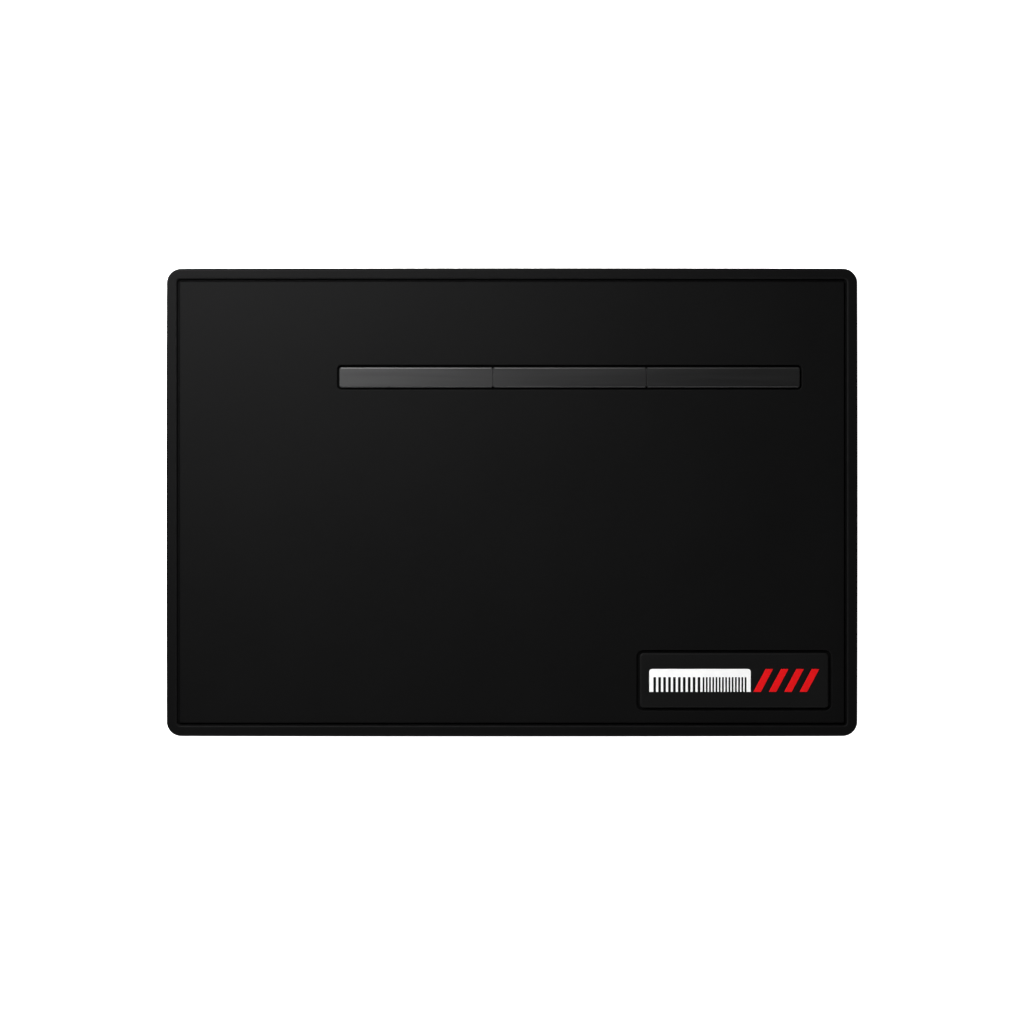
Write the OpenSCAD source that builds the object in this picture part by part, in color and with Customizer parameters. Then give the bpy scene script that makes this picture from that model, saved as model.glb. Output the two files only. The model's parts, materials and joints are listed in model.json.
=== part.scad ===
// Magnetic tool mat for a barber's or salon station: one rubber moulding with a raised rim,
// three bar magnets bonded in a slot, and an inlaid badge bonded in a pocket.
// Millimetres. +X runs along the mat, +Y to the back, +Z up. The origin is the centre of the
// underside, on the surface that the mat lies on.

/* [Mat] */
// Length of the mat, left to right
mat_w = 450; // [440:1:500]
// Depth of the mat, front to back
mat_d = 305; // [290:1:360]
// Height of the flat field that tools lie on
field_h = 5; // [5:0.1:7]
// How far the rim stands above the field
rim_rise = 1.4; // [1:0.1:3]
// Radius of the four outer corners
corner_r = 9.6; // [9.6:0.1:16]

/* [Rim and groove] */
// Width of the rim
rim_w = 7.4; // [5:0.1:7.4]
// Width of the round-bottomed groove between the rim and the field
groove_w = 1.8; // [1.2:0.1:1.8]
// Depth of the groove below the field
groove_depth = 1.6; // [1.3:0.1:2.4]
// Rounding of the rim's outer top edge
crown_r = 1.6; // [0.6:0.1:1.8]
// Rounding of the rim's inner top edge
lip_r = 1; // [0.3:0.1:1]

/* [Magnets] */
// Length of each bar magnet
magnet_l = 99.6; // [80:0.2:100]
// Width of each bar magnet
magnet_w = 13.3; // [10:0.1:20]
// Thickness of each bar magnet
magnet_t = 3; // [2.4:0.1:3]
// Gap between two bars that lie end to end
magnet_gap = 0.1; // [0.1:0.1:1]
// Air round the row of bars inside its slot
slot_gap = 1.4; // [0.5:0.1:2]
// Rounding of the upright corners of a bar
magnet_corner_r = 1.3; // [1.2:0.1:2]
// Rounding of the long edges of a bar
magnet_edge_r = 1.1; // [0.3:0.1:1.1]
// Distance from the mat's right edge to the right end of the row of bars
row_from_right = 38.1; // [36:0.1:60]
// Distance from the mat's back edge to the middle of the row of bars
row_from_back = 71.3; // [40:0.1:90]

/* [Badge] */
// Length of the badge
badge_w = 122.6; // [122:0.2:130]
// Depth of the badge, front to back
badge_d = 35.4; // [30:0.2:44]
// Thickness of the badge
badge_t = 2; // [1.6:0.1:2.4]
// Air round the badge inside its pocket
badge_gap = 2; // [0.5:0.1:2.2]
// Distance from the mat's right edge to the badge
badge_from_right = 19.3; // [15:0.1:30]
// Distance from the mat's front edge to the badge
badge_from_front = 19.1; // [15:0.1:30]

/* [Underside] */
// Width of the flat band round the underside
band_w = 12; // [11:1:20]
// Diameter of each grip dot
dot_d = 6; // [4:0.5:9]
// Distance between neighbouring grip dots
dot_pitch = 20; // [16:1:30]
// Height of the grip dots
dot_h = 0.5; // [0.3:0.1:0.6]

/* [Hidden] */
$fn = 64;
over = 1;                  // how far a cutter runs past the face that it opens
far = 100;                 // further than any edge section reaches

foot_r = 0.5;              // rounding of the mat's bottom edge
wall_draft = 0.5;          // how far the side wall leans in on its way up to the crown
field_edge_r = 0.3;        // rounding of the field where it meets the groove
mouth_r = 0.5;             // rounding of a pocket's mouth
tape_inset = 1.2;          // how far a bonding tape stays inside what it bonds
magnet_tape_t = 0.3;
magnet_proud = 0.2;        // how far the bars stand above the field
badge_tape_t = 0.2;
badge_proud = 0.6;
badge_corner_r = 2.4;
badge_edge_r = 1.2;
inlay_depth = 0.5;         // depth of an inlay's seat in the badge
inlay_proud = 0.25;

rim_h = field_h + rim_rise;
field_inset = rim_w + groove_w;   // from the mat's outline to the edge of the field

magnet_z = field_h + magnet_proud - magnet_t;
slot_floor = magnet_z - magnet_tape_t;
magnet_pitch = magnet_l + magnet_gap;
row_l = 3 * magnet_l + 2 * magnet_gap;
row_x = mat_w / 2 - row_from_right - row_l / 2;
row_y = mat_d / 2 - row_from_back;

badge_z = field_h + badge_proud - badge_t;
badge_top = badge_z + badge_t;
badge_floor = badge_z - badge_tape_t;
badge_x = mat_w / 2 - badge_from_right - badge_w / 2;
badge_y = -mat_d / 2 + badge_from_front + badge_d / 2;

// The badge's emblem: a comb, and a barber's four stripes to the right of it
emblem_inset = 6;          // from the badge's ends to the comb and to the stripes
emblem_d = 15;
comb_w = 66;
spine_d = 5.4;             // the comb's solid back
guard_w = 2.8;             // the thick tooth at each end
coarse_pitch = 3.2;
fine_pitch = 2.1;
n_coarse = 10;
n_fine = 13;
stripes_w = 43;
stripe_lean = 8;           // how far a stripe's top stands to the right of its foot
n_stripes = 4;

rubber_black = [0.09, 0.09, 0.09];
plated_grey = [0.30, 0.30, 0.31];
tape_white = [0.86, 0.86, 0.82];
badge_black = [0.11, 0.11, 0.11];
inlay_white = [0.93, 0.93, 0.93];
inlay_red = [0.88, 0.05, 0.06];

// ---- Shared shapes -------------------------------------------------------------------------

module rounded_rect(w, d, r) {
    square([w - 2 * r, d], center = true);
    square([w, d - 2 * r], center = true);
    for (sx = [-1, 1], sy = [-1, 1])
        translate([sx * (w / 2 - r), sy * (d / 2 - r)]) circle(r);
}

// What is cut from a square corner at the origin, between +X and +Y, to round it.
module corner_cut(r) {
    difference() {
        square(r);
        translate([r, r]) circle(r);
    }
}

// A slab whose outline is a w by d rectangle with round corners. children() is its edge in
// section: x is the distance inwards from the outline, up to corner, and y is the height.
// Inside that edge the slab is flat, from z0 to z1.
module swept_slab(w, d, corner, z0, z1) {
    translate([0, 0, (z0 + z1) / 2]) cube([w - 2 * corner, d - 2 * corner, z1 - z0], center = true);
    for (side = [0:3]) {
        along = side % 2 == 0 ? w : d;
        across = side % 2 == 0 ? d : w;
        rotate(90 * side) {
            translate([corner - along / 2, -across / 2, 0])
                rotate([90, 0, 90]) linear_extrude(along - 2 * corner) children();
            translate([along / 2 - corner, corner - across / 2, 0])
                rotate(-90) rotate_extrude(angle = 90) intersection() {
                    translate([corner, 0]) mirror([1, 0]) children();
                    translate([0, -far]) square(2 * far);    // nothing crosses the axis of turning
                }
        }
    }
}

// A rounded slab: a swept_slab whose top and bottom edges are round.
module rounded_slab(w, d, corner, z0, z1, top_r, bottom_r) {
    swept_slab(w, d, corner, z0, z1) difference() {
        translate([0, z0]) square([corner, z1 - z0]);
        translate([0, z1]) mirror([0, 1]) corner_cut(top_r);
        translate([0, z0]) corner_cut(bottom_r);
    }
}

// What is cut from the field for a pocket, with the pocket's mouth rounded.
module pocket(w, d, corner, floor_z) {
    top = field_h + over;
    swept_slab(w, d, corner, floor_z, top) {
        translate([0, floor_z]) square([corner, top - floor_z]);
        difference() {
            translate([-mouth_r, field_h - mouth_r]) square([mouth_r, mouth_r + over]);
            translate([-mouth_r, field_h - mouth_r]) circle(mouth_r);
        }
    }
}

// ---- Mat -----------------------------------------------------------------------------------

// The rim, the groove and the edge of the field, from the mat's outline inwards.
module mat_section() {
    groove_r = groove_w / 2;
    groove_mid = field_h - groove_depth + groove_r;
    difference() {
        union() {
            square([rim_w, rim_h]);
            square([corner_r, field_h]);
        }
        corner_cut(foot_r);
        translate([wall_draft, rim_h]) mirror([0, 1]) corner_cut(crown_r);
        polygon([[0, foot_r], [wall_draft, rim_h - crown_r], [wall_draft, rim_h + over],
                 [-over, rim_h + over], [-over, foot_r]]);
        translate([rim_w, rim_h]) rotate(180) corner_cut(lip_r);
        translate([field_inset, field_h]) mirror([0, 1]) corner_cut(field_edge_r);
        translate([rim_w, groove_mid]) square([groove_w, rim_h]);
        translate([rim_w + groove_r, groove_mid]) circle(groove_r);
    }
}

// The recess under the mat, which leaves a flat band round it and the grip dots standing.
module grip_recess() {
    recess_w = mat_w - 2 * band_w;
    recess_d = mat_d - 2 * band_w;
    row_step = dot_pitch * sqrt(3) / 2;
    rows = floor((recess_d / 2 - dot_d) / row_step);
    columns = floor((recess_w / 2 - dot_d) / dot_pitch);
    translate([0, 0, -over]) linear_extrude(over + dot_h) difference() {
        rounded_rect(recess_w, recess_d, corner_r / 2);
        for (row = [-rows:rows], column = [-columns:columns]) {
            x = (column + (row % 2 == 0 ? 0 : 0.5)) * dot_pitch;
            if (x < recess_w / 2 - dot_d) translate([x, row * row_step]) circle(d = dot_d);
        }
    }
}

module mat_body() {
    color(rubber_black) difference() {
        swept_slab(mat_w, mat_d, corner_r, 0, field_h) mat_section();
        translate([row_x, row_y, 0])
            pocket(row_l + 2 * slot_gap, magnet_w + 2 * slot_gap, magnet_corner_r + slot_gap, slot_floor);
        translate([badge_x, badge_y, 0])
            pocket(badge_w + 2 * badge_gap, badge_d + 2 * badge_gap, badge_corner_r + badge_gap, badge_floor);
        grip_recess();
    }
}

// ---- Magnets -------------------------------------------------------------------------------

// place is -1 for the left bar, 0 for the middle one and 1 for the right one.
module magnet(place) {
    color(plated_grey) translate([row_x + place * magnet_pitch, row_y, 0])
        rounded_slab(magnet_l, magnet_w, magnet_corner_r, magnet_z, magnet_z + magnet_t,
                     magnet_edge_r, magnet_edge_r);
}

module magnet_tape(place) {
    color(tape_white) translate([row_x + place * magnet_pitch, row_y, slot_floor + magnet_tape_t / 2])
        cube([magnet_l - 2 * tape_inset, magnet_w - 2 * tape_inset, magnet_tape_t], center = true);
}

// ---- Badge ---------------------------------------------------------------------------------

// Teeth that fill the right half of each pitch, from the badge's front up into the comb's back.
module teeth(from, pitch, count) {
    for (i = [0:count - 1])
        translate([from + (i + 0.5) * pitch, 0]) square([pitch / 2, emblem_d - spine_d / 2]);
}

module comb_outline() {
    coarse_from = guard_w;
    fine_from = coarse_from + n_coarse * coarse_pitch;
    translate([badge_x - badge_w / 2 + emblem_inset, badge_y - emblem_d / 2]) {
        translate([comb_w / 2, emblem_d - spine_d / 2]) rounded_rect(comb_w, spine_d, spine_d / 3);
        for (x = [0, comb_w - guard_w]) translate([x, 0]) square([guard_w, emblem_d - spine_d / 2]);
        teeth(coarse_from, coarse_pitch, n_coarse);
        teeth(fine_from, fine_pitch, n_fine);
    }
}

// Stripe 1 is the left one.
module stripe_outline(number) {
    stripe_w = (stripes_w - stripe_lean) / (2 * n_stripes - 1);
    translate([badge_x + badge_w / 2 - emblem_inset - stripes_w + 2 * (number - 1) * stripe_w,
               badge_y - emblem_d / 2])
        polygon([[0, 0], [stripe_w, 0], [stripe_w + stripe_lean, emblem_d], [stripe_lean, emblem_d]]);
}

module badge_plate() {
    color(badge_black) difference() {
        translate([badge_x, badge_y, 0])
            rounded_slab(badge_w, badge_d, badge_corner_r, badge_z, badge_top, badge_edge_r, 0.1);
        translate([0, 0, badge_top - inlay_depth]) linear_extrude(inlay_depth + over) {
            comb_outline();
            for (number = [1:n_stripes]) stripe_outline(number);
        }
    }
}

module badge_tape() {
    color(tape_white) translate([badge_x, badge_y, badge_floor + badge_tape_t / 2])
        cube([badge_w - 2 * tape_inset, badge_d - 2 * tape_inset, badge_tape_t], center = true);
}

// An inlay fills its seat in the badge and stands a little above it.
module inlay() {
    translate([0, 0, badge_top - inlay_depth]) linear_extrude(inlay_depth + inlay_proud) children();
}

module badge_comb_inlay() {
    color(inlay_white) inlay() comb_outline();
}

module badge_stripe(number) {
    color(inlay_red) inlay() stripe_outline(number);
}

mat_body();
magnet(-1);  // magnet_left
magnet(0);  // magnet_middle
magnet(1);  // magnet_right
magnet_tape(-1);  // magnet_tape_left
magnet_tape(0);  // magnet_tape_middle
magnet_tape(1);  // magnet_tape_right
badge_plate();
badge_tape();
badge_comb_inlay();
badge_stripe(1);  // badge_stripe_1
badge_stripe(2);  // badge_stripe_2
badge_stripe(3);  // badge_stripe_3
badge_stripe(4);  // badge_stripe_4
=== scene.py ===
"""Looks for the magnetic tool mat: the rubber moulding, the plated magnets and the inlaid badge.

Blender works in metres. Sizes are in millimetres up to the stage, and MM turns them into metres.
"""

import json
import math

import bmesh
import bpy
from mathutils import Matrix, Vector


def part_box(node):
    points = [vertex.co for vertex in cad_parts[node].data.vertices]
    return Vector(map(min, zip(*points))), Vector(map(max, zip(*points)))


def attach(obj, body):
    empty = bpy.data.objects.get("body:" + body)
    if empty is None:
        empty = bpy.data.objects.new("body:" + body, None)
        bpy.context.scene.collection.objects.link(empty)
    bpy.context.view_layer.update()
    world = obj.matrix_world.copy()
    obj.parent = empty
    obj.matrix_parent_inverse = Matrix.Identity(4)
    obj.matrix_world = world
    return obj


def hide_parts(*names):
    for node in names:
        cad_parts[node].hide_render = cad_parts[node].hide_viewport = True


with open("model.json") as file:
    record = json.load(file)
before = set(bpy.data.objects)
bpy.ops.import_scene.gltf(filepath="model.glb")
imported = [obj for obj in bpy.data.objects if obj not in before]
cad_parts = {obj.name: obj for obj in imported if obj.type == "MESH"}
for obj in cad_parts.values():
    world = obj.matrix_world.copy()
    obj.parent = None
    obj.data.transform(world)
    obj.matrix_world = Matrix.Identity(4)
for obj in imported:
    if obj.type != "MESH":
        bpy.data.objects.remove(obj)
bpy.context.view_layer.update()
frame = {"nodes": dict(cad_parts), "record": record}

MM = 0.001
BODY = "root"

# ---- Sizes that the frame doesn't give, in millimetres ---------------------------------------

CORNER_R = 9.6
RIM_W = 7.4
GROOVE_W = 1.8
GROOVE_DEPTH = 1.6
CROWN_R = 1.6
LIP_R = 1
FIELD_EDGE_R = 0.3
WALL_DRAFT = 0.5
FOOT_R = 0.5
MOUTH_R = 0.5
CORNER_PULL = 0.3          # the rim narrows by this much from mid-side to the corners
FLASH_H = 2.4              # height of the mould's parting line on the side wall
FLASH_W = 0.16             # half its width, where it meets the wall
FLASH_OUT = 0.07           # how far it stands out of the wall

SLOT_GAP = 1.4
MAGNET_CORNER_R = 1.3
MAGNET_EDGE_R = 1.1
MAGNET_END_R = 0.08        # the ends are ground square, with a hairline bevel

BADGE_GAP = 2
BADGE_CORNER_R = 2.4
BADGE_EDGE_R = 1.2
BADGE_FOOT_R = 0.1
INLAY_DEPTH = 0.5
INLAY_EDGE_R = 0.14

BAND_W = 12
DOT_D = 6
DOT_PITCH = 20
DOT_H = 0.5

# The badge's emblem
EMBLEM_INSET = 6
EMBLEM_D = 15
COMB_W = 66
SPINE_D = 5.4
GUARD_W = 2.8
COARSE_PITCH = 3.2
FINE_PITCH = 2.1
N_COARSE = 10
N_FINE = 13
STRIPES_W = 43
STRIPE_LEAN = 8
N_STRIPES = 4
INLAY_CORNER_R = 0.25


def millimetres(node):
    """A CAD node's lowest and highest corners, in millimetres."""
    low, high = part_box(node)
    return low / MM, high / MM


mat_low, mat_high = millimetres("mat_body")
MAT_W = mat_high.x - mat_low.x
MAT_D = mat_high.y - mat_low.y
RIM_H = mat_high.z
mount_z = {m["name"]: m["pos_m"][2] / MM for m in frame["record"]["mounts"]}
FIELD_H = mount_z["field"]
FIELD_INSET = RIM_W + GROOVE_W


# ---- Mesh tools ------------------------------------------------------------------------------
# A track is a closed run of stations, counter-clockwise from above. A station is a point on an
# outline and the way out of it. A section is a run of (inset, height, edge) points, where edge
# says how far the point lies on a rounded edge, from 0 to 1.


def rounded_track(centre, width, depth, corner, arc_steps=8, side_steps=1):
    """The track round a rectangle with round corners, or round a circle if it is all corner."""
    stations = []
    for quarter in range(4):
        start = math.pi * (quarter / 2 - 1)
        sign_x = 1 if quarter in (1, 2) else -1
        sign_y = 1 if quarter in (2, 3) else -1
        middle = Vector((
            centre[0] + sign_x * (width / 2 - corner),
            centre[1] + sign_y * (depth / 2 - corner),
        ))
        curve = []
        for step in range(arc_steps + 1):
            angle = start + math.pi / 2 * step / arc_steps
            out = Vector((math.cos(angle), math.sin(angle)))
            curve.append((middle + corner * out, out))
        if stations:
            stations += side_stations(stations[-1], curve[0], side_steps)
        stations += curve
    stations += side_stations(stations[-1], stations[0], side_steps)
    kept = []
    for station in stations:
        if not kept or (station[0] - kept[-1][0]).length > 1e-6:
            kept.append(station)
    if (kept[0][0] - kept[-1][0]).length < 1e-6:
        kept.pop()
    return kept


def side_stations(a, b, steps):
    """The stations between the ends of one straight side."""
    return [(a[0].lerp(b[0], i / steps), a[1]) for i in range(1, steps)]


def polygon_track(corners, arc_steps=3):
    """The track round a polygon whose corners are (x, y, radius), each rounded by its radius."""
    stations = []
    for i, (x, y, radius) in enumerate(corners):
        here = Vector((x, y))
        back = (Vector(corners[i - 1][:2]) - here).normalized()
        ahead = (Vector(corners[(i + 1) % len(corners)][:2]) - here).normalized()
        turn = math.pi - math.acos(max(-1, min(1, back.dot(ahead))))
        convex = back.x * ahead.y - back.y * ahead.x < 0
        reach = radius * math.tan(turn / 2)
        middle = here + (back + ahead).normalized() * (radius / math.cos(turn / 2))
        first = here + back * reach - middle
        last = here + ahead * reach - middle
        for step in range(arc_steps + 1):
            out = first.slerp(last, step / arc_steps).normalized()
            stations.append((middle + out * radius, out if convex else -out))
    return stations


def arc(centre_inset, centre_z, radius, start, end, steps, edge=0.0):
    """Points of a section along an arc. Angles are in degrees from inwards, turning upwards."""
    points = []
    for step in range(steps + 1):
        share = step / steps
        angle = math.radians(start + (end - start) * share)
        on_edge = edge * math.sin(math.pi * share)
        inset = centre_inset + radius * math.cos(angle)
        points.append((inset, centre_z + radius * math.sin(angle), on_edge))
    return points


class Shape:
    """A mesh in the making, in millimetres."""

    def __init__(self):
        self.bm = bmesh.new()
        self.edge = self.bm.verts.layers.float.new("edge")

    def sweep(self, track, section, bend=None):
        """Adds the section swept along the track, and returns its first and last rings."""
        rings = []
        for inset, z, edge in section:
            ring = []
            for point, out in track:
                place = bend(point, out, inset) if bend else point - out * inset
                vertex = self.bm.verts.new((place.x, place.y, z))
                vertex[self.edge] = edge
                ring.append(vertex)
            rings.append(ring)
        for lower, upper in zip(rings, rings[1:]):
            for j in range(len(track)):
                k = (j + 1) % len(track)
                self.bm.faces.new((lower[j], lower[k], upper[k], upper[j]))
        return rings[0], rings[-1]

    def cap(self, ring):
        self.bm.faces.new(ring)

    def fill(self, *rings):
        """Fills the flat area inside the first ring and outside the others."""
        edges = []
        for ring in rings:
            edges += [self.bm.edges.get((a, b)) for a, b in zip(ring, ring[1:] + ring[:1])]
        bmesh.ops.triangle_fill(self.bm, use_beauty=True, edges=edges)

    def finish(self, name, material, slot, *nodes):
        """Makes the piece, which stands for those CAD nodes."""
        bmesh.ops.scale(self.bm, vec=(MM, MM, MM), verts=self.bm.verts)
        bmesh.ops.recalc_face_normals(self.bm, faces=self.bm.faces)
        mesh = bpy.data.meshes.new(name)
        self.bm.to_mesh(mesh)
        self.bm.free()
        for polygon in mesh.polygons:
            polygon.use_smooth = True
        mesh.materials.append(material)
        piece = bpy.data.objects.new(name, mesh)
        bpy.context.scene.collection.objects.link(piece)
        weigh = piece.modifiers.new("weigh", "WEIGHTED_NORMAL")
        weigh.mode = "FACE_AREA"
        weigh.weight = 100
        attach(piece, BODY)
        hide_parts(*nodes)
        return piece


# ---- Material tools --------------------------------------------------------------------------


class Nodes:
    """A material's node tree, with one Principled shader and coordinates in metres."""

    def __init__(self, name):
        self.material = bpy.data.materials.new(name)
        self.material.use_nodes = True
        self.tree = self.material.node_tree
        self.shader = next(n for n in self.tree.nodes if n.type == "BSDF_PRINCIPLED")
        self.place = self.tree.nodes.new("ShaderNodeTexCoord").outputs["Object"]

    def add(self, kind, inputs=(), **settings):
        node = self.tree.nodes.new("ShaderNode" + kind)
        for key, value in settings.items():
            setattr(node, key, value)
        for key, value in dict(inputs).items():
            if isinstance(value, bpy.types.NodeSocket):
                self.tree.links.new(value, node.inputs[key])
            else:
                node.inputs[key].default_value = value
        return node

    def stretched(self, scale):
        """The coordinates, stretched by a different amount along each axis."""
        return self.add("Mapping", {"Vector": self.place, "Scale": scale}).outputs["Vector"]

    def noise(self, size_mm, detail=2.0, rough=0.5, place=None):
        """Noise from 0 to 1 whose features are about that size."""
        inputs = {"Vector": place or self.place, "Scale": 1 / (size_mm * MM)}
        return self.add("TexNoise", {**inputs, "Detail": detail, "Roughness": rough}).outputs["Fac"]

    def spread(self, value, low, high, from_low=0.3, from_high=0.7):
        """The value, moved from one range into another and kept inside it."""
        inputs = {"Value": value, "From Min": from_low, "From Max": from_high}
        return self.add("MapRange", {**inputs, "To Min": low, "To Max": high}).outputs["Result"]

    def sum(self, a, b, share):
        """a + share * b"""
        return self.add("Math", {0: b, 1: share, 2: a}, operation="MULTIPLY_ADD").outputs["Value"]

    def blend(self, share, low, high):
        """Two colours, mixed by a share."""
        node = self.add("Mix", {"Factor": share}, data_type="RGBA")
        node.inputs[6].default_value = (*low, 1)
        node.inputs[7].default_value = (*high, 1)
        return node.outputs[2]

    def edges(self):
        """How far a point lies on a rounded edge, from 0 to 1."""
        return self.add("Attribute", attribute_name="edge").outputs["Fac"]

    def bump(self, height, depth_mm):
        inputs = {"Height": height, "Distance": depth_mm * MM}
        self.connect("Normal", self.add("Bump", inputs).outputs["Normal"])

    def connect(self, socket, value):
        self.tree.links.new(value, self.shader.inputs[socket])

    def set(self, metallic, specular=0.5):
        self.shader.inputs["Metallic"].default_value = metallic
        self.shader.inputs["Specular IOR Level"].default_value = specular


def rubber(name, dark, light, roughness, worn=(0.013, 0.013, 0.0132)):
    """Moulded black rubber: a fine spark-eroded grain, a faint cloudiness, and edges worn paler."""
    n = Nodes(name)
    clouds = n.noise(70, detail=3)
    handled = n.noise(9, detail=4)
    body = n.blend(n.spread(n.sum(clouds, handled, 0.25), 0, 1, 0.45, 0.8), dark, light)
    wear = n.add("Math", {0: n.edges(), 1: n.spread(n.noise(4, detail=3), 0.25, 0.9)}, operation="MULTIPLY")
    colour = n.add("Mix", {"Factor": wear.outputs["Value"], 6: body}, data_type="RGBA")
    colour.inputs[7].default_value = (*worn, 1)
    n.connect("Base Color", colour.outputs[2])
    shine = n.spread(n.sum(clouds, handled, 0.5), roughness - 0.012, roughness + 0.012, 0.55, 0.95)
    n.connect("Roughness", n.sum(shine, n.edges(), -0.04))
    n.bump(n.noise(0.45, detail=3, rough=0.6), 0.016)
    n.set(metallic=0.0, specular=0.15)
    return n.material


def plating():
    """Dark plated steel, satin, with faint lengthwise brushing, and a painted highlight: the rounded edges
    are coloured brighter than the body.
    """
    n = Nodes("magnet_plating")
    strokes = n.noise(0.5, detail=3, place=n.stretched((0.012, 1, 1)))
    streaks = n.noise(3.5, detail=2, place=n.stretched((0.05, 1, 1)))
    mixed = n.sum(streaks, strokes, 0.35)
    body = n.blend(n.spread(mixed, 0, 1, 0.5, 0.9), (0.062, 0.062, 0.0625), (0.069, 0.069, 0.0695))
    # Painted highlight: the rounded edges are mixed towards a paler colour, so they reflect more than the
    # body
    colour = n.add("Mix", {"Factor": n.edges(), 6: body}, data_type="RGBA")
    colour.inputs[7].default_value = (0.10, 0.10, 0.101, 1)
    n.connect("Base Color", colour.outputs[2])
    n.connect("Roughness", n.spread(mixed, 0.43, 0.465, 0.5, 0.9))
    n.bump(strokes, 0.002)
    n.set(metallic=1.0)
    return n.material


def soft_plastic(name, dark, light, roughness):
    """Coloured soft PVC: nearly even in colour, with a very fine skin."""
    n = Nodes(name)
    n.connect("Base Color", n.blend(n.spread(n.noise(6, detail=3), 0, 1), dark, light))
    n.connect("Roughness", n.spread(n.noise(2.5), roughness - 0.05, roughness + 0.05))
    n.bump(n.noise(0.35, detail=2), 0.008)
    n.set(metallic=0.0, specular=0.25)
    return n.material


mat_rubber = rubber("mat_rubber", (0.0036, 0.0036, 0.0037), (0.0044, 0.0044, 0.0045), 0.66)
badge_rubber = rubber("badge_rubber", (0.0095, 0.0095, 0.0096), (0.0109, 0.0109, 0.011), 0.6)
magnet_plating = plating()
inlay_white = soft_plastic("inlay_white", (0.88, 0.88, 0.88), (0.92, 0.92, 0.915), 0.6)
inlay_red = soft_plastic("inlay_red", (0.70, 0.008, 0.012), (0.78, 0.011, 0.016), 0.6)
bonding_tape = soft_plastic("bonding_tape", (0.62, 0.62, 0.58), (0.72, 0.72, 0.68), 0.6)


# ---- Mat -------------------------------------------------------------------------------------


def centre_of(low, high):
    return (low.x + high.x) / 2, (low.y + high.y) / 2


def pull_corners(point, out, inset):
    """Draws the rim in towards the corners, and leaves the groove straight."""
    place = point - out * inset
    fade = max(0.0, 1 - inset / RIM_W)
    along_x = (2 * place.x / MAT_W) ** 2
    along_y = (2 * place.y / MAT_D) ** 2
    return Vector((
        place.x - math.copysign(CORNER_PULL * along_y * fade, place.x),
        place.y - math.copysign(CORNER_PULL * along_x * fade, place.y),
    ))


def mat_section():
    """From the underside's outer edge, up the side wall, over the rim and the groove to the field."""
    groove_r = GROOVE_W / 2
    groove_mid = FIELD_H - GROOVE_DEPTH + groove_r
    lean = WALL_DRAFT * (FLASH_H - FOOT_R) / (RIM_H - CROWN_R - FOOT_R)
    return [
        *arc(FOOT_R, FOOT_R, FOOT_R, 270, 180, 5),
        (lean, FLASH_H - FLASH_W, 0),
        (lean - FLASH_OUT, FLASH_H - FLASH_W / 4, 0.5),
        (lean - FLASH_OUT, FLASH_H + FLASH_W / 4, 0.5),
        (lean, FLASH_H + FLASH_W, 0),
        *arc(WALL_DRAFT + CROWN_R, RIM_H - CROWN_R, CROWN_R, 180, 90, 9, edge=0.7),
        *arc(RIM_W - LIP_R, RIM_H - LIP_R, LIP_R, 90, 0, 6, edge=1.0),
        *arc(RIM_W + groove_r, groove_mid, groove_r, 180, 360, 10),
        *arc(FIELD_INSET + FIELD_EDGE_R, FIELD_H - FIELD_EDGE_R, FIELD_EDGE_R, 180, 90, 5, edge=0.6),
    ]


def pocket(shape, low, high, gap, corner, floor_z):
    """Adds a pocket below the field round that box, and returns the ring round its mouth."""
    width, depth = high.x - low.x + 2 * gap, high.y - low.y + 2 * gap
    track = rounded_track(centre_of(low, high), width, depth, corner + gap, arc_steps=6)
    section = [
        *arc(-MOUTH_R, FIELD_H - MOUTH_R, MOUTH_R, 90, 0, 4, edge=0.5),
        (0, floor_z, 0),
    ]
    mouth, floor = shape.sweep(track, section)
    shape.cap(floor)
    return mouth


def grip_dots():
    """The centres of the dots under the mat, in staggered rows."""
    recess_w, recess_d = MAT_W - 2 * BAND_W, MAT_D - 2 * BAND_W
    row_step = DOT_PITCH * math.sqrt(3) / 2
    rows = int((recess_d / 2 - DOT_D) / row_step)
    columns = int((recess_w / 2 - DOT_D) / DOT_PITCH)
    for row in range(-rows, rows + 1):
        for column in range(-columns, columns + 1):
            x = (column + (row % 2) / 2) * DOT_PITCH
            if x < recess_w / 2 - DOT_D:
                yield x, row * row_step


def add_top(shape):
    """The side wall, rim, groove, field, slot and badge seat. Returns the foot's lowest ring."""
    outline = rounded_track((0, 0), MAT_W, MAT_D, CORNER_R, arc_steps=14, side_steps=24)
    foot, field = shape.sweep(outline, mat_section(), bend=pull_corners)
    low, high = millimetres("magnet_left")[0], millimetres("magnet_right")[1]
    floor_z = millimetres("magnet_tape_left")[0].z
    slot = pocket(shape, low, high, SLOT_GAP, MAGNET_CORNER_R, floor_z)
    low, high = millimetres("badge_plate")
    floor_z = millimetres("badge_tape")[0].z
    seat = pocket(shape, low, high, BADGE_GAP, BADGE_CORNER_R, floor_z)
    shape.fill(field, slot, seat)
    return foot


def add_underside(shape, foot):
    """The flat band, and the recess of grip dots inside it."""
    round_r = DOT_H * 0.4          # rounding of the recess's edge and of the dots' edges
    recess = rounded_track((0, 0), MAT_W - 2 * BAND_W, MAT_D - 2 * BAND_W, CORNER_R / 2, arc_steps=6)
    recess_section = [*arc(-round_r, round_r, round_r, 270, 360, 3), (0, DOT_H, 0)]
    mouth, ceiling = shape.sweep(recess, recess_section)
    shape.fill(foot, mouth)
    dot_section = [(0, DOT_H, 0), *arc(round_r, round_r, round_r, 180, 270, 3)]
    roots = []
    for centre in grip_dots():
        dot = rounded_track(centre, DOT_D, DOT_D, DOT_D / 2, arc_steps=5)
        root, tip = shape.sweep(dot, dot_section)
        shape.cap(tip)
        roots.append(root)
    shape.fill(ceiling, *roots)


def make_mat():
    shape = Shape()
    foot = add_top(shape)
    add_underside(shape, foot)
    shape.finish("mat_moulding", mat_rubber, "mat_rubber", "mat_body")


# ---- Magnets ---------------------------------------------------------------------------------


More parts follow.
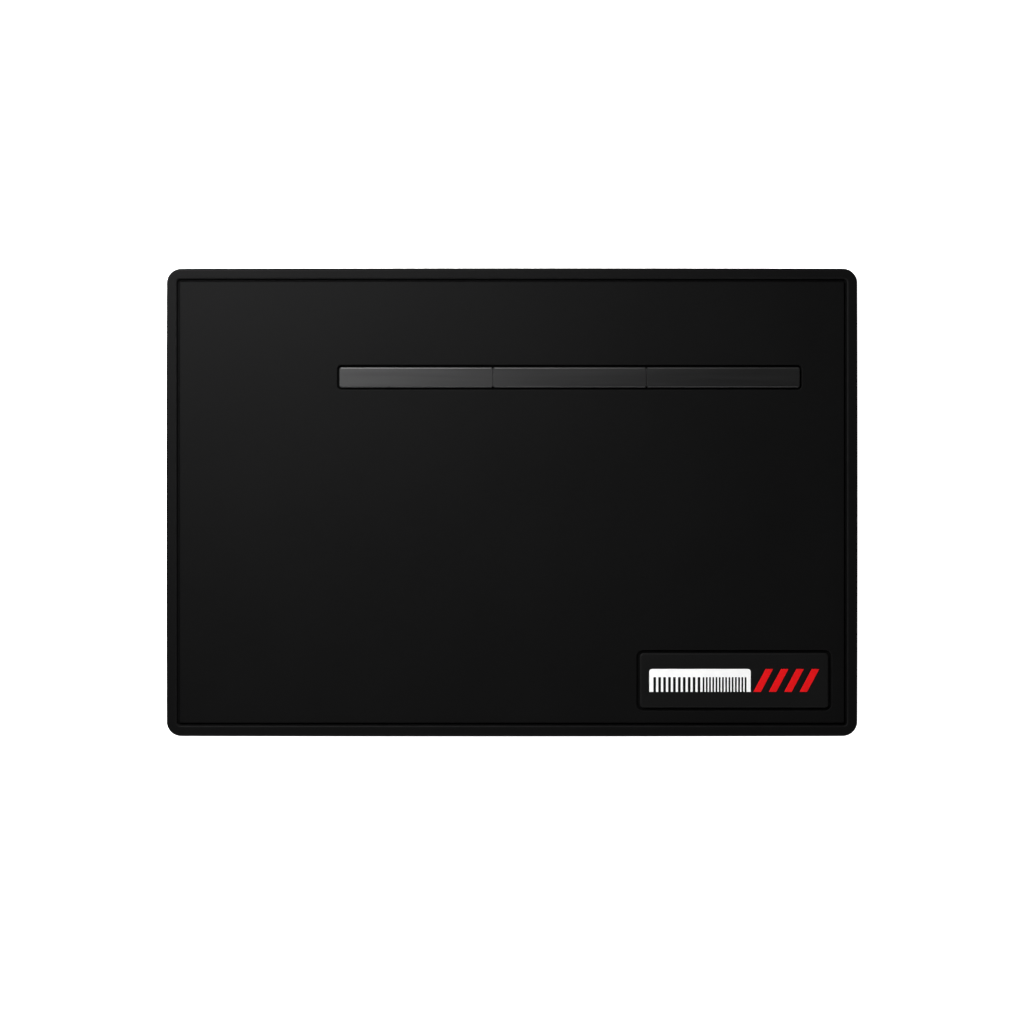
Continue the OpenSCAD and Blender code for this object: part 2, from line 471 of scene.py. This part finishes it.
def rounded_slab_section(low_z, high_z, top_r, bottom_r, edge):
    return [
        *arc(bottom_r, low_z + bottom_r, bottom_r, 270, 180, 4),
        *arc(top_r, high_z - top_r, top_r, 180, 90, 7, edge=edge),
    ]


def squarer_ends(point, out, inset):
    """Narrows the rounding at the bar's ends and leaves it full along the sides."""
    return point - out * inset * (1 - (1 - MAGNET_END_R / MAGNET_EDGE_R) * abs(out.x))


def make_magnet(place):
    shape = Shape()
    low, high = millimetres("magnet_" + place)
    width, depth = high.x - low.x, high.y - low.y
    track = rounded_track(centre_of(low, high), width, depth, MAGNET_CORNER_R, arc_steps=7)
    section = rounded_slab_section(low.z, high.z, MAGNET_EDGE_R, MAGNET_EDGE_R, edge=1.0)
    bottom, top = shape.sweep(track, section, bend=squarer_ends)
    shape.cap(bottom)
    shape.cap(top)
    shape.finish("bar_magnet_" + place, magnet_plating, "magnet_plating", "magnet_" + place)


# ---- Badge -----------------------------------------------------------------------------------

badge_low, badge_high = millimetres("badge_plate")
badge_mid = centre_of(badge_low, badge_high)


def comb_corners():
    """The comb's outline: its teeth from left to right, then its back."""
    left = badge_low.x + EMBLEM_INSET
    foot = badge_mid[1] - EMBLEM_D / 2
    root, back = foot + EMBLEM_D - SPINE_D, foot + EMBLEM_D
    fine_from = GUARD_W + N_COARSE * COARSE_PITCH
    teeth = [(0, GUARD_W)]
    teeth += [(GUARD_W + (i + 0.5) * COARSE_PITCH, COARSE_PITCH / 2) for i in range(N_COARSE)]
    teeth += [(fine_from + (i + 0.5) * FINE_PITCH, FINE_PITCH / 2) for i in range(N_FINE)]
    teeth += [(COMB_W - GUARD_W, GUARD_W)]
    corners = []
    for x, width in teeth:
        corners += [(left + x, root, INLAY_CORNER_R), (left + x, foot, INLAY_CORNER_R)]
        corners += [(left + x + width, foot, INLAY_CORNER_R), (left + x + width, root, INLAY_CORNER_R)]
    spine_r = SPINE_D / 3
    return corners[1:-1] + [(left + COMB_W, back, spine_r), (left, back, spine_r)]


def stripe_corners(number):
    """Stripe 1 is the left one."""
    width = (STRIPES_W - STRIPE_LEAN) / (2 * N_STRIPES - 1)
    x = badge_high.x - EMBLEM_INSET - STRIPES_W + 2 * (number - 1) * width
    foot = badge_mid[1] - EMBLEM_D / 2
    back = foot + EMBLEM_D
    points = [(x, foot), (x + width, foot), (x + width + STRIPE_LEAN, back), (x + STRIPE_LEAN, back)]
    return [(*point, INLAY_CORNER_R) for point in points]


inlay_corners = {"badge_comb_inlay": comb_corners()}
for stripe_number in range(1, N_STRIPES + 1):
    inlay_corners[f"badge_stripe_{stripe_number}"] = stripe_corners(stripe_number)


def make_badge():
    shape = Shape()
    width, depth = badge_high.x - badge_low.x, badge_high.y - badge_low.y
    track = rounded_track(badge_mid, width, depth, BADGE_CORNER_R)
    section = rounded_slab_section(badge_low.z, badge_high.z, BADGE_EDGE_R, BADGE_FOOT_R, edge=0.6)
    bottom, top = shape.sweep(track, section)
    shape.cap(bottom)
    seats = []
    seat_section = [(0, badge_high.z, 0), (0, badge_high.z - INLAY_DEPTH, 0)]
    for corners in inlay_corners.values():
        mouth, floor = shape.sweep(polygon_track(corners), seat_section)
        shape.fill(floor)
        seats.append(mouth)
    shape.fill(top, *seats)
    shape.finish("badge", badge_rubber, "badge_rubber", "badge_plate")


def make_inlay(node, material, slot):
    shape = Shape()
    low, high = millimetres(node)
    section = [
        (0, low.z, 0),
        *arc(INLAY_EDGE_R, high.z - INLAY_EDGE_R, INLAY_EDGE_R, 180, 90, 4, edge=1.0),
    ]
    bottom, top = shape.sweep(polygon_track(inlay_corners[node]), section)
    shape.fill(bottom)
    shape.fill(top)
    shape.finish("inlay_" + node.removeprefix("badge_").removesuffix("_inlay"), material, slot, node)


make_mat()
for magnet_place in ("left", "middle", "right"):
    make_magnet(magnet_place)
make_badge()
make_inlay("badge_comb_inlay", inlay_white, "inlay_white")
for stripe_number in range(1, N_STRIPES + 1):
    make_inlay(f"badge_stripe_{stripe_number}", inlay_red, "inlay_red")

for tape in ("magnet_tape_left", "magnet_tape_middle", "magnet_tape_right", "badge_tape"):
    tape_object = frame["nodes"][tape]
    tape_object.data.materials.clear()
    tape_object.data.materials.append(bonding_tape)


# ---- Stage, light and camera, in metres ------------------------------------------------------

FLOOR_R = 3
COVE_R = 1.5                   # how widely the floor curves up into the wall
WALL_H = 4
COVE_SIDES = 64
COVE_STEPS = 6
COVE_GLOW = 0.97
# The light of the studio's walls: (sine of the elevation, how bright)
WALL_GLOW = [(0, 0.06), (0.05, 0.8), (0.28, 0.8), (0.55, 0.09)]

VIEW_WIDTH = 0.6648            # what the frame takes in, level with the top of the rim
MAT_ABOVE_CENTRE = 0.0063      # how far the mat's centre lies above the frame's centre
LENS = 85


def add_cove():
    """A white floor that curves up into a round wall, and stays white under the mat's own shadow."""
    slopes = [math.pi / 2 * step / COVE_STEPS for step in range(COVE_STEPS + 1)]
    profile = [(FLOOR_R + COVE_R * math.sin(a), COVE_R * (1 - math.cos(a))) for a in slopes]
    profile.append((FLOOR_R + COVE_R, WALL_H))
    turns = [2 * math.pi * side / COVE_SIDES for side in range(COVE_SIDES)]
    corners = [(r * math.cos(turn), r * math.sin(turn), z) for r, z in profile for turn in turns]
    faces = [tuple(range(COVE_SIDES))]
    for ring in range(len(profile) - 1):
        for side in range(COVE_SIDES):
            a = ring * COVE_SIDES + side
            b = ring * COVE_SIDES + (side + 1) % COVE_SIDES
            faces.append((a, b, b + COVE_SIDES, a + COVE_SIDES))
    mesh = bpy.data.meshes.new("cove")
    mesh.from_pydata(corners, [], faces)
    n = Nodes("cove_white")
    n.shader.inputs["Roughness"].default_value = 0.8
    n.shader.inputs["Base Color"].default_value = (0.8, 0.8, 0.8, 1)
    n.shader.inputs["Emission Color"].default_value = (1, 1, 1, 1)
    n.shader.inputs["Emission Strength"].default_value = COVE_GLOW
    mesh.materials.append(n.material)
    cove = bpy.data.objects.new("cove", mesh)
    cove.visible_glossy = False
    cove.visible_diffuse = False
    cove.visible_shadow = False
    bpy.context.scene.collection.objects.link(cove)


def add_softbox(name, place, width, watts):
    """A square lamp, turned to the mat's middle."""
    data = bpy.data.lights.new(name, "AREA")
    data.shape = "SQUARE"
    data.size = width
    data.energy = watts
    lamp = bpy.data.objects.new(name, data)
    lamp.location = place
    lamp.visible_camera = False
    lamp.rotation_euler = (-Vector(place)).to_track_quat("-Z", "Y").to_euler()
    bpy.context.scene.collection.objects.link(lamp)


def add_world():
    """Faint light from all round, and a paler band above the horizon, as from a studio's walls."""
    world = bpy.data.worlds.new("studio")
    world.use_nodes = True
    bpy.context.scene.world = world
    tree = world.node_tree
    way = tree.nodes.new("ShaderNodeTexCoord").outputs["Generated"]
    height = tree.nodes.new("ShaderNodeSeparateXYZ")
    tree.links.new(way, height.inputs["Vector"])
    ramp = tree.nodes.new("ShaderNodeValToRGB")
    tree.links.new(height.outputs["Z"], ramp.inputs["Fac"])
    stops = ramp.color_ramp.elements
    for up, glow in WALL_GLOW[1:-1]:
        stops.new(up)
    for stop, (up, glow) in zip(stops, WALL_GLOW):
        stop.position = up
        stop.color = (glow, glow, glow, 1)
    background = next(n for n in tree.nodes if n.type == "BACKGROUND")
    tree.links.new(ramp.outputs["Color"], background.inputs["Color"])


def add_camera():
    """Straight above the mat, with a long lens."""
    data = bpy.data.cameras.new("camera")
    data.lens = LENS
    camera = bpy.data.objects.new("camera", data)
    distance = VIEW_WIDTH * data.lens / data.sensor_width
    camera.location = (0, -MAT_ABOVE_CENTRE, RIM_H * MM + distance)
    data.clip_start, data.clip_end = 0.01, 50
    bpy.context.scene.collection.objects.link(camera)
    bpy.context.scene.camera = camera


add_cove()
add_softbox("key", (-0.216, 0.31, 0.30), 0.5, 5.5)
add_softbox("front", (-0.296, -1.299, 0.604), 0.5, 9.2)
add_softbox("side", (1.1, -1.1, 0.5), 0.9, 4.5)
add_world()
add_camera()
bpy.context.scene.view_settings.view_transform = "Standard"
bpy.context.scene.view_settings.gamma = 0.8          # the photo's steep tone curve
